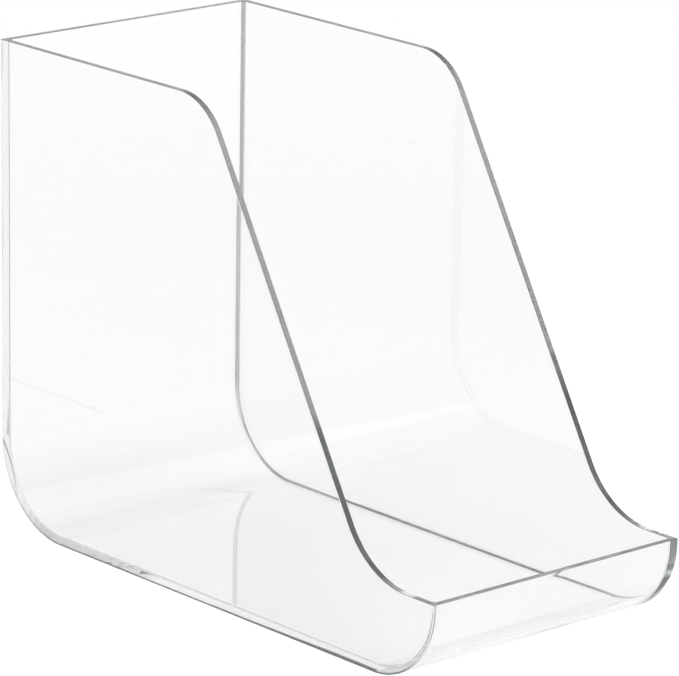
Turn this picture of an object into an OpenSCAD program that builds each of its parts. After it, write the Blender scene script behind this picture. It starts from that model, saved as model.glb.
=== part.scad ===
// Clear bin for a fridge or pantry shelf, tall at the back and open in front.
// One injection moulding: the back, the floor and the low front lip are one
// swept wall with a round bend at each end, and two flat sides close it.
// The rim of each side runs level from the back, rolls over a crest, drops
// down a straight slope and eases through a dip into the level of the lip.
// X is the width, +Y the back, -Y the open front, Z up, origin under the
// middle of the bin. Millimetres.

/* [Overall] */
// Width across the outside of the two sides
width = 133; // [100:1:180]
// Depth from the back wall to the front of the lip
depth = 275; // [240:1:340]
// Height of the back wall
height = 212; // [160:1:260]
// Height of the front lip
lip_height = 37; // [25:0.5:60]
// Wall thickness of the moulding
wall = 2.7; // [1.5:0.1:4]

/* [Bends of the swept wall] */
// Outer radius of the bend from back wall to floor
back_bend_r = 40; // [15:1:60]
// Outer radius of the bend from floor to front lip
front_bend_r = 35; // [15:1:50]

/* [Rim of the sides] */
// Length of the level top edge, up to the line of the slope
top_run = 133.5; // [90:0.5:150]
// Length of the level edge behind the lip, up to the line of the slope
lip_run = 39; // [20:0.5:60]
// Radius of the crest, where the top edge rolls into the slope
crest_r = 28; // [5:1:45]
// Radius of the dip, where the slope eases into the lip's level
dip_r = 40; // [5:1:60]

/* [Edges] */
// Rounding of the outer edges, where the sides meet the swept wall
edge_r = 0.5; // [0.5:0.1:4]
// Rounding of the inner corners, where the sides meet the swept wall
corner_r = 1.5; // [0.5:0.1:6]

/* [Hidden] */
$fn = 160;

back_y = depth / 2;
front_y = -depth / 2;
// How far a cutting shape reaches past the faces that it cuts
clear = 10;
// How far the arcs of the rim reach over its slope, so that both meet cleanly
overlap = 0.01;

// Where the line of the slope meets the two level stretches of the rim
crest_y = back_y - top_run;
dip_y = front_y + lip_run;
// The slope's angle above the level, which is also how far each bend turns
slope_a = atan2(height - lip_height, crest_y - dip_y);

// Side view (Y, Z) of a block with a round bend at the back and front of
// its floor, a distance inset inside the bin's outer faces
module swept_side(inset, top_z)
{
    back_r = back_bend_r - inset;
    front_r = front_bend_r - inset;
    union() {
        translate([back_y - back_bend_r, back_bend_r])
            circle(r = back_r);
        translate([front_y + front_bend_r, front_bend_r])
            circle(r = front_r);
        polygon([
            [front_y + front_bend_r, inset],
            [back_y - back_bend_r, inset],
            [back_y - back_bend_r, back_bend_r],
            [back_y - inset, back_bend_r],
            [back_y - inset, top_z],
            [front_y + inset, top_z],
            [front_y + inset, front_bend_r],
            [front_y + front_bend_r, front_bend_r]
        ]);
    }
}

// A side view (Y, Z) given thickness w along X, centred on X = 0
module across(w)
{
    translate([-w / 2, 0, 0])
        rotate([90, 0, 90])
            linear_extrude(height = w)
                children();
}

// A quarter of a round bar, bent about a line along X through (y, z)
module bent_bar(x, y, z, bend_r, bar_r, start_a)
{
    translate([x, y, z])
        rotate([0, 90, 0])
            rotate([0, 0, start_a])
                rotate_extrude(angle = 90)
                    translate([bend_r, 0])
                        circle(r = bar_r);
}

// Block of the swept wall's form whose long edges are rounded by round_r:
// a narrow block, a thin wide one and a round bar along each edge
module swept_block(inset, round_r, top_z)
{
    half_w = width / 2 - inset;
    in = inset + round_r;
    across(2 * (half_w - round_r))
        swept_side(inset, top_z);
    across(2 * half_w)
        swept_side(in, top_z);
    for (side = [-1, 1]) {
        x = side * (half_w - round_r);
        translate([x, back_y - in, back_bend_r])
            cylinder(r = round_r, h = top_z - back_bend_r);
        translate([x, front_y + in, front_bend_r])
            cylinder(r = round_r, h = top_z - front_bend_r);
        translate([x, back_y - back_bend_r, in])
            rotate([90, 0, 0])
                cylinder(r = round_r, h = depth - back_bend_r - front_bend_r);
        bent_bar(x, back_y - back_bend_r, back_bend_r, back_bend_r - in, round_r, 0);
        bent_bar(x, front_y + front_bend_r, front_bend_r, front_bend_r - in, round_r, -90);
    }
}

// Side view (Y, Z) of all that the moulding leaves open above its rim. The
// outline cuts each of its two bends short, and the arcs round them.
module above_rim()
{
    crest_run = crest_r * tan(slope_a / 2);
    crest_arc_y = crest_y + crest_run - overlap;
    dip_run = dip_r * tan(slope_a / 2);
    dip_arc_y = dip_y - dip_run + overlap;
    past_front = front_y - dip_r - clear;
    difference() {
        union() {
            polygon([
                [back_y + clear, height],
                [crest_arc_y, height],
                [crest_y - crest_run * cos(slope_a), height - crest_run * sin(slope_a)],
                [dip_y + dip_run * cos(slope_a), lip_height + dip_run * sin(slope_a)],
                [dip_arc_y, lip_height],
                [past_front, lip_height],
                [past_front, height + 2 * clear],
                [back_y + clear, height + 2 * clear]
            ]);
            translate([dip_arc_y, lip_height + dip_r])
                circle(r = dip_r);
        }
        translate([crest_arc_y, height - crest_r])
            circle(r = crest_r);
    }
}

// The whole moulding: outer block, less the hollow and what is above the rim
module bin()
{
    color([0.90, 0.93, 0.93, 0.35])
        difference() {
            swept_block(0, edge_r, height + clear);
            swept_block(wall, corner_r, height + 2 * clear);
            across(width + 2 * clear)
                above_rim();
        }
}

bin();
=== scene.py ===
import math
import bmesh
import bpy
from mathutils import Matrix, Vector


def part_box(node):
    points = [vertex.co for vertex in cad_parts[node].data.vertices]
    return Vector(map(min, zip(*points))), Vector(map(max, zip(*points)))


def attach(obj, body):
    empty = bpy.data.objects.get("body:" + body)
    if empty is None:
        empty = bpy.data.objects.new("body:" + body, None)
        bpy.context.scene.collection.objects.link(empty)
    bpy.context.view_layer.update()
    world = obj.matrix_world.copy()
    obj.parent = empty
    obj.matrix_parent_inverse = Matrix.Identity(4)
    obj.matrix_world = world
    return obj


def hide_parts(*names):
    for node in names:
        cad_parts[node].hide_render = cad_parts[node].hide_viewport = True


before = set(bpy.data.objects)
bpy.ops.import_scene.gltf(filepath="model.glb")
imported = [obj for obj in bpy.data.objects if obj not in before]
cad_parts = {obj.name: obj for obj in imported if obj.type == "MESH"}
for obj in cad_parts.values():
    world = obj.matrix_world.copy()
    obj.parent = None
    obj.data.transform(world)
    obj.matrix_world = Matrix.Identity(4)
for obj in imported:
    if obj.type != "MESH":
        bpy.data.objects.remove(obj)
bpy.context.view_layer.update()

# Clear bin
# One injection moulding in clear plastic: back, floor and front lip are one
# swept wall with round bends, and two flat sides close it. The outer block
# and the hollow are made as two shells, which the rim then joins.
bin_low, bin_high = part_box("bin")
back_y = bin_high.y
front_y = bin_low.y
top_z = bin_high.z
half_width = bin_high.x
wall = 0.0027
lip_z = 0.037
back_bend_r = 0.040
front_bend_r = 0.035
top_run = 0.1335
lip_run = 0.039
crest_r = 0.028
dip_r = 0.040
crest_y = back_y - top_run
dip_y = front_y + lip_run
slope_turn = math.atan2(top_z - lip_z, crest_y - dip_y)
outer_edge_r = 0.0005
inner_corner_r = 0.0015
rim_edge_r = 0.0002
quarter_turn = math.radians(90)
bend_steps = 60
edge_steps = 6
rim_steps = 2

# A face belongs to a flat side when its normal is nearly along X, and to the
# swept wall when its normal has nearly no X.
side_normal = 0.999
swept_normal = 0.02
slight_normal = 0.01

# Clear plastic looks grey at its edges from the light it bends and mirrors;
# here that grey is painted shade. Each face carries how much: 0 is clear,
# 0.5 is the painted grey of a trimmed rim, and 1 is nearly black.
rim_painted_shade = 0.5
lip_painted_shade = 0.4
lip_side_painted_shade = 0.05
lip_side_rise = 0.0012
rim_edge_painted_shade = 0.6
back_corner_painted_shade = 0.33
back_corner_rise = 0.17
floor_corner_painted_shade = 0.03
side_wall_painted_shade = 0.015
upright_edge_painted_shade = 0.05
bottom_edge_painted_shade = 1.0
bottom_strip_painted_shade = 0.9
bottom_strip = 0.0004
front_edge_fade = 0.012
front_bend_painted_shade = 0.15
front_bend_fade = 0.006


def wire_to(bm, vert, y, z):
    made = bmesh.ops.extrude_vert_indiv(bm, verts=[vert])
    tip = made["verts"][0]
    tip.co.y = y
    tip.co.z = z
    return tip


def wire_round(bm, vert, y, z, turn):
    steps = round(bend_steps * abs(turn) / quarter_turn)
    made = bmesh.ops.spin(bm, geom=[vert], cent=(0, y, z), axis=(1, 0, 0), angle=turn, steps=steps)
    return next(v for v in made["geom_last"] if isinstance(v, bmesh.types.BMVert))


def side_outline(bm, inset):
    crest_run = crest_r * math.tan(slope_turn / 2)
    dip_run = dip_r * math.tan(slope_turn / 2)
    start = bm.verts.new((0, back_y - inset, top_z))
    tip = wire_to(bm, start, back_y - inset, back_bend_r)
    tip = wire_round(bm, tip, back_y - back_bend_r, back_bend_r, -quarter_turn)
    tip = wire_to(bm, tip, front_y + front_bend_r, inset)
    tip = wire_round(bm, tip, front_y + front_bend_r, front_bend_r, -quarter_turn)
    tip = wire_to(bm, tip, front_y + inset, lip_z)
    tip = wire_to(bm, tip, dip_y - dip_run, lip_z)
    tip = wire_round(bm, tip, dip_y - dip_run, lip_z + dip_r, slope_turn)
    crest_start_y = crest_y - crest_run * math.cos(slope_turn)
    tip = wire_to(bm, tip, crest_start_y, top_z - crest_run * math.sin(slope_turn))
    tip = wire_round(bm, tip, crest_y + crest_run, top_z - crest_r, -slope_turn)
    bm.edges.new((tip, start))


def lowness(place):
    fade = back_bend_r if place.y > 0 else front_edge_fade
    return max(0, 1 - place.z / fade)


# Painted shade outside: the bottom edges and the foot of the front bend are darkened towards the floor
# as contact shade, and the upright edges get a faint grey.
def outer_painted_shade(face):
    place = face.calc_center_median()
    if abs(face.normal.x) > swept_normal:
        return max(upright_edge_painted_shade, bottom_edge_painted_shade * lowness(place))
    if face.normal.y < -slight_normal:
        return front_bend_painted_shade * max(0, 1 - place.z / front_bend_fade)
    return 0


# Painted shade inside: the corners up the back grey more towards the top, the floor corners only
# faintly, and the swept wall not at all.
def inner_painted_shade(face):
    place = face.calc_center_median()
    if abs(face.normal.x) < swept_normal:
        return 0
    if place.y < back_y - back_bend_r:
        return floor_corner_painted_shade
    full = back_corner_painted_shade + back_corner_rise * (1 - abs(face.normal.x))
    climb = min(1, (place.z - wall) / (back_bend_r - wall))
    return max(floor_corner_painted_shade, full * climb ** 2)


def open_block(inset, round_r, painted_shade_of):
    bm = bmesh.new()
    side_outline(bm, inset)
    bmesh.ops.translate(bm, verts=bm.verts, vec=(-half_width + inset, 0, 0))
    side = bmesh.ops.contextual_create(bm, geom=bm.edges[:])["faces"]
    grown = bmesh.ops.extrude_face_region(bm, geom=side)["geom"]
    grown_verts = [g for g in grown if isinstance(g, bmesh.types.BMVert)]
    bmesh.ops.translate(bm, verts=grown_verts, vec=(2 * (half_width - inset), 0, 0))
    bmesh.ops.recalc_face_normals(bm, faces=bm.faces)
    above = [f for f in bm.faces if f.normal.z > slight_normal]
    sides = [f for f in bm.faces if abs(f.normal.x) > side_normal]
    long_edges = [e for f in sides for e in f.edges if not any(g in above for g in e.link_faces)]
    bmesh.ops.bevel(bm, geom=long_edges, offset=round_r, affect="EDGES", segments=edge_steps,
                    profile=0.5, material=-1)
    above = [f for f in bm.faces if f.normal.z > slight_normal]
    bmesh.ops.delete(bm, geom=above, context="FACES")
    shade_layer = bm.faces.layers.float.new("painted_edge_shade")
    for face in bm.faces:
        # Painted shade: the flat sides get a faint grey, and the other faces get their painted shade
        # from the given function.
        face[shade_layer] = side_wall_painted_shade if abs(face.normal.x) > side_normal else painted_shade_of(face)
    return bm


bin_bm = bmesh.new()
for block in (open_block(0, outer_edge_r, outer_painted_shade), open_block(wall, inner_corner_r, inner_painted_shade)):
    shell = bpy.data.meshes.new("shell")
    block.to_mesh(shell)
    block.free()
    bin_bm.from_mesh(shell)
    bpy.data.meshes.remove(shell)
rim_loops = [e for e in bin_bm.edges if e.is_boundary]
shade_layer = bin_bm.faces.layers.float["painted_edge_shade"]
# Painted shade: the rim tops get a grey, the lip front less, and the lip's level sides almost none.
for face in bmesh.ops.bridge_loops(bin_bm, edges=rim_loops)["faces"]:
    place = face.calc_center_median()
    if place.z > lip_z + lip_side_rise:
        face[shade_layer] = rim_painted_shade
    elif abs(place.x) > half_width - wall:
        face[shade_layer] = lip_side_painted_shade
    else:
        face[shade_layer] = lip_painted_shade
bmesh.ops.recalc_face_normals(bin_bm, faces=bin_bm.faces)
rim_edges = bmesh.ops.bevel(bin_bm, geom=rim_loops, offset=rim_edge_r, affect="EDGES",
                            segments=rim_steps, profile=0.5, material=-1)["faces"]
shade_layer = bin_bm.faces.layers.float["painted_edge_shade"]
# Painted shade: the small rounds on the rim edges are greyed a little more than the rim.
for face in rim_edges:
    face[shade_layer] = rim_edge_painted_shade
flat_sides = [f for f in bin_bm.faces if abs(f.normal.x) > side_normal]
outsides = [f for f in flat_sides if abs(f.calc_center_median().x) > half_width - rim_edge_r]
strips = bmesh.ops.inset_individual(bin_bm, faces=outsides, thickness=bottom_strip,
                                    use_even_offset=True)["faces"]
# Painted shade: a thin strip round the outside of each flat side is darkened towards the bottom as
# contact shade.
for face in strips:
    face[shade_layer] = max(side_wall_painted_shade, bottom_strip_painted_shade * lowness(face.calc_center_median()))
for face in bin_bm.faces:
    face.smooth = True
bin_mesh = bpy.data.meshes.new("clear_bin")
bin_bm.to_mesh(bin_mesh)
bin_bm.free()
clear_bin = bpy.data.objects.new("clear_bin", bin_mesh)
bpy.context.scene.collection.objects.link(clear_bin)
flat_shading = clear_bin.modifiers.new("flat_walls", "WEIGHTED_NORMAL")
flat_shading.mode = "FACE_AREA"
flat_shading.keep_sharp = True

# The plastic is polished and faintly wavy, as moulded walls are. Only the
# trimmed rims are a little rough, and unevenly so. Light that the floor has
# already scattered passes the edges without their painted shade.
plastic_ior = 1.57
plastic_tint = (0.0, 0.15, 0.1, 1)
tint_density = 0.5
rim_painted_grey = (0.17, 0.178, 0.174, 1)
edge_painted_black = (0.01, 0.01, 0.01, 1)
wave_scale = 14
wave_strength = 0.1
wave_height = 0.001
rim_grain_scale = 400
grain_low = 0.3
grain_high = 0.7
rim_rough_low = 0.12
rim_rough_high = 0.25
rough_from = 0.3
rough_to = 0.6
wall_shadow = (0.94, 0.945, 0.943, 1)
edge_shadow = (0.1, 0.1, 0.1, 1)
dark_from = 0.6
dark_to = 0.8


def joined(nodes, links, operation, first, second):
    made = nodes.new("ShaderNodeMath")
    made.operation = operation
    links.new(first, made.inputs[0])
    if isinstance(second, bpy.types.NodeSocket):
        links.new(second, made.inputs[1])
    else:
        made.inputs[1].default_value = second
    return made.outputs[0]


def ranged(nodes, links, value, from_low, from_high, to_low, to_high):
    made = nodes.new("ShaderNodeMapRange")
    made.interpolation_type = "SMOOTHSTEP"
    made.inputs["From Min"].default_value = from_low
    made.inputs["From Max"].default_value = from_high
    made.inputs["To Min"].default_value = to_low
    made.inputs["To Max"].default_value = to_high
    links.new(value, made.inputs["Value"])
    return made.outputs["Result"]


clear_plastic = bpy.data.materials.new("clear_plastic")
clear_plastic.use_nodes = True
nodes = clear_plastic.node_tree.nodes
links = clear_plastic.node_tree.links
plastic = nodes["Principled BSDF"]
plastic.inputs["IOR"].default_value = plastic_ior
plastic.inputs["Transmission Weight"].default_value = 1
at_edge = nodes.new("ShaderNodeAttribute")
at_edge.attribute_name = "painted_edge_shade"
plastic_path = nodes.new("ShaderNodeLightPath")
unscattered = joined(nodes, links, "LESS_THAN", plastic_path.outputs["Diffuse Depth"], 0.5)
seen_painted_shade = joined(nodes, links, "MULTIPLY", at_edge.outputs["Fac"], unscattered)
# Painted shade: the base colour goes from clear white through the rim's painted grey to near black by
# each face's painted edge shade.
painted_shade_colour = nodes.new("ShaderNodeValToRGB")
painted_shade_colour.color_ramp.elements[0].color = (1, 1, 1, 1)
painted_shade_colour.color_ramp.elements[1].color = edge_painted_black
rim_stop = painted_shade_colour.color_ramp.elements.new(rim_painted_shade)
rim_stop.color = rim_painted_grey
links.new(seen_painted_shade, painted_shade_colour.inputs["Fac"])
links.new(painted_shade_colour.outputs["Color"], plastic.inputs["Base Color"])
mould_place = nodes.new("ShaderNodeTexCoord")
wave = nodes.new("ShaderNodeTexNoise")
wave.inputs["Scale"].default_value = wave_scale
wave.inputs["Detail"].default_value = 1
links.new(mould_place.outputs["Object"], wave.inputs["Vector"])
uneven = nodes.new("ShaderNodeBump")
uneven.inputs["Strength"].default_value = wave_strength
uneven.inputs["Distance"].default_value = wave_height
links.new(wave.outputs["Fac"], uneven.inputs["Height"])
links.new(uneven.outputs["Normal"], plastic.inputs["Normal"])
rim_grain = nodes.new("ShaderNodeTexNoise")
rim_grain.inputs["Scale"].default_value = rim_grain_scale
links.new(mould_place.outputs["Object"], rim_grain.inputs["Vector"])
grain = rim_grain.outputs["Fac"]
grain_rough = ranged(nodes, links, grain, grain_low, grain_high, rim_rough_low, rim_rough_high)
at_rim = ranged(nodes, links, seen_painted_shade, rough_from, rough_to, 0, 1)
edge_rough = joined(nodes, links, "MULTIPLY", grain_rough, at_rim)
links.new(edge_rough, plastic.inputs["Roughness"])
tint = nodes.new("ShaderNodeVolumeAbsorption")
tint.inputs["Color"].default_value = plastic_tint
tint.inputs["Density"].default_value = tint_density
links.new(tint.outputs["Volume"], nodes["Material Output"].inputs["Volume"])
let_through = nodes.new("ShaderNodeBsdfTransparent")
shadow_colour = nodes.new("ShaderNodeValToRGB")
shadow_colour.color_ramp.elements[0].position = dark_from
shadow_colour.color_ramp.elements[0].color = wall_shadow
shadow_colour.color_ramp.elements[1].position = dark_to
shadow_colour.color_ramp.elements[1].color = edge_shadow
links.new(at_edge.outputs["Fac"], shadow_colour.inputs["Fac"])
links.new(shadow_colour.outputs["Color"], let_through.inputs["Color"])
lamp_mix = nodes.new("ShaderNodeMixShader")
links.new(plastic_path.outputs["Is Shadow Ray"], lamp_mix.inputs["Fac"])
links.new(plastic.outputs["BSDF"], lamp_mix.inputs[1])
links.new(let_through.outputs["BSDF"], lamp_mix.inputs[2])
links.new(lamp_mix.outputs["Shader"], nodes["Material Output"].inputs["Surface"])
bin_mesh.materials.append(clear_plastic)
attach(clear_bin, "root")
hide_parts("bin")

# Floor
# A pale sheet a hair's breadth under the bin. It fades into the white all
# round it, so that no horizon shows.
floor_gap = 0.0002
floor_r = 2.0
fade_from = 0.3
fade_to = 1.0
floor_pale = (0.92, 0.92, 0.92, 1)
floor_rough = 0.9
floor_lift = 0.2
floor_sides = 96
floor_bm = bmesh.new()
bmesh.ops.create_circle(floor_bm, cap_ends=True, segments=floor_sides, radius=floor_r)
bmesh.ops.translate(floor_bm, verts=floor_bm.verts, vec=(0, 0, -floor_gap))
floor_mesh = bpy.data.meshes.new("floor")
floor_bm.to_mesh(floor_mesh)
floor_bm.free()
floor = bpy.data.objects.new("floor", floor_mesh)
bpy.context.scene.collection.objects.link(floor)
pale_floor = bpy.data.materials.new("pale_floor")
pale_floor.use_nodes = True
nodes = pale_floor.node_tree.nodes
links = pale_floor.node_tree.links
sheet = nodes["Principled BSDF"]
sheet.inputs["Base Color"].default_value = floor_pale
sheet.inputs["Roughness"].default_value = floor_rough
sheet.inputs["Specular IOR Level"].default_value = 0
sheet.inputs["Emission Color"].default_value = (1, 1, 1, 1)
floor_path = nodes.new("ShaderNodeLightPath")
lift = joined(nodes, links, "MULTIPLY", floor_path.outputs["Is Camera Ray"], floor_lift)
links.new(lift, sheet.inputs["Emission Strength"])
floor_place = nodes.new("ShaderNodeTexCoord")
from_middle = nodes.new("ShaderNodeVectorMath")
from_middle.operation = "LENGTH"
links.new(floor_place.outputs["Object"], from_middle.inputs[0])
gone = nodes.new("ShaderNodeBsdfTransparent")
floor_mix = nodes.new("ShaderNodeMixShader")
fade = ranged(nodes, links, from_middle.outputs["Value"], fade_from, fade_to, 0, 1)
links.new(fade, floor_mix.inputs["Fac"])
links.new(sheet.outputs["BSDF"], floor_mix.inputs[1])
links.new(gone.outputs["BSDF"], floor_mix.inputs[2])
links.new(floor_mix.outputs["Shader"], nodes["Material Output"].inputs["Surface"])
floor_mesh.materials.append(pale_floor)

# Light
# A white studio with a soft lamp above and to the left. What the plastic
# mirrors is darker overhead and on the left, which draws its edges.
white = (1, 1, 1, 1)
fill_level = 0.9
overhead_level = 0.7
overhead_from = 0.3
overhead_to = 0.7
left_level = 0.12
left_from = 0.15
left_to = -0.15
horizon_from = 0.02
horizon_to = 0.1
world = bpy.data.worlds.new("studio")
bpy.context.scene.world = world
world.use_nodes = True
nodes = world.node_tree.nodes
links = world.node_tree.links
studio_side = nodes.new("ShaderNodeTexCoord")
towards = nodes.new("ShaderNodeSeparateXYZ")
links.new(studio_side.outputs["Generated"], towards.inputs[0])
overhead = ranged(nodes, links, towards.outputs["Z"], overhead_from, overhead_to, 1, overhead_level)
leftward = ranged(nodes, links, towards.outputs["X"], left_from, left_to, 0, 1)
raised = ranged(nodes, links, towards.outputs["Z"], horizon_from, horizon_to, 0, 1)
unlit = joined(nodes, links, "MULTIPLY", leftward, raised)
left_side = ranged(nodes, links, unlit, 0, 1, 1, left_level)
studio_level = joined(nodes, links, "MULTIPLY", overhead, left_side)
mirrored = nodes.new("ShaderNodeBackground")
mirrored.inputs["Color"].default_value = white
links.new(studio_level, mirrored.inputs["Strength"])
seen = nodes.new("ShaderNodeBackground")
seen.inputs["Color"].default_value = white
fill = nodes["Background"]
fill.inputs["Color"].default_value = white
fill.inputs["Strength"].default_value = fill_level
sky_path = nodes.new("ShaderNodeLightPath")
bounced = sky_path.outputs["Is Glossy Ray"]
refracted = sky_path.outputs["Is Transmission Ray"]
in_plastic = joined(nodes, links, "MAXIMUM", bounced, refracted)
unscattered = joined(nodes, links, "LESS_THAN", sky_path.outputs["Diffuse Depth"], 0.5)
mirrors = joined(nodes, links, "MULTIPLY", in_plastic, unscattered)
lit_or_mirrored = nodes.new("ShaderNodeMixShader")
links.new(mirrors, lit_or_mirrored.inputs["Fac"])
links.new(fill.outputs[0], lit_or_mirrored.inputs[1])
links.new(mirrored.outputs[0], lit_or_mirrored.inputs[2])
mix = nodes.new("ShaderNodeMixShader")
links.new(sky_path.outputs["Is Camera Ray"], mix.inputs["Fac"])
links.new(lit_or_mirrored.outputs[0], mix.inputs[1])
links.new(seen.outputs[0], mix.inputs[2])
links.new(mix.outputs[0], nodes["World Output"].inputs["Surface"])

key_place = Vector((-0.8, -0.3, 1.6))
key_width = 1.2
key_depth = 0.8
key_power = 9
key_data = bpy.data.lights.new("key", "AREA")
key_data.shape = "RECTANGLE"
key_data.size = key_width
key_data.size_y = key_depth
key_data.energy = key_power
key = bpy.data.objects.new("key", key_data)
key.location = key_place
key.rotation_euler = key_place.to_track_quat("Z", "Y").to_euler()
bpy.context.scene.collection.objects.link(key)

# Camera
# It stands in front, to the left and above, far off with a long lens.
view_turn = math.radians(-41.349)
view_tilt = math.radians(15.998)
view_roll = math.radians(0.945)
view_distance = 1.99303
view_aim = Vector((0.00124, -0.00271, 0.10206))
view_lens = 256.92
view_sensor = 36
camera_data = bpy.data.cameras.new("camera")
camera_data.sensor_width = view_sensor
camera_data.lens = view_lens
camera_data.clip_start = 0.05
camera_data.clip_end = 30
camera = bpy.data.objects.new("camera", camera_data)
bpy.context.scene.collection.objects.link(camera)
turned = Matrix.Rotation(view_turn, 4, "Z") @ Matrix.Rotation(quarter_turn - view_tilt, 4, "X")
turned = turned @ Matrix.Rotation(view_roll, 4, "Z")
camera.matrix_world = Matrix.Translation(view_aim) @ turned @ Matrix.Translation((0, 0, view_distance))
bpy.context.scene.camera = camera

# Light runs far along the thin clear walls, so its paths are kept long.
path_length = 200
bpy.context.scene.view_settings.view_transform = "Standard"
bpy.context.scene.cycles.max_bounces = path_length
bpy.context.scene.cycles.glossy_bounces = path_length
bpy.context.scene.cycles.transmission_bounces = path_length
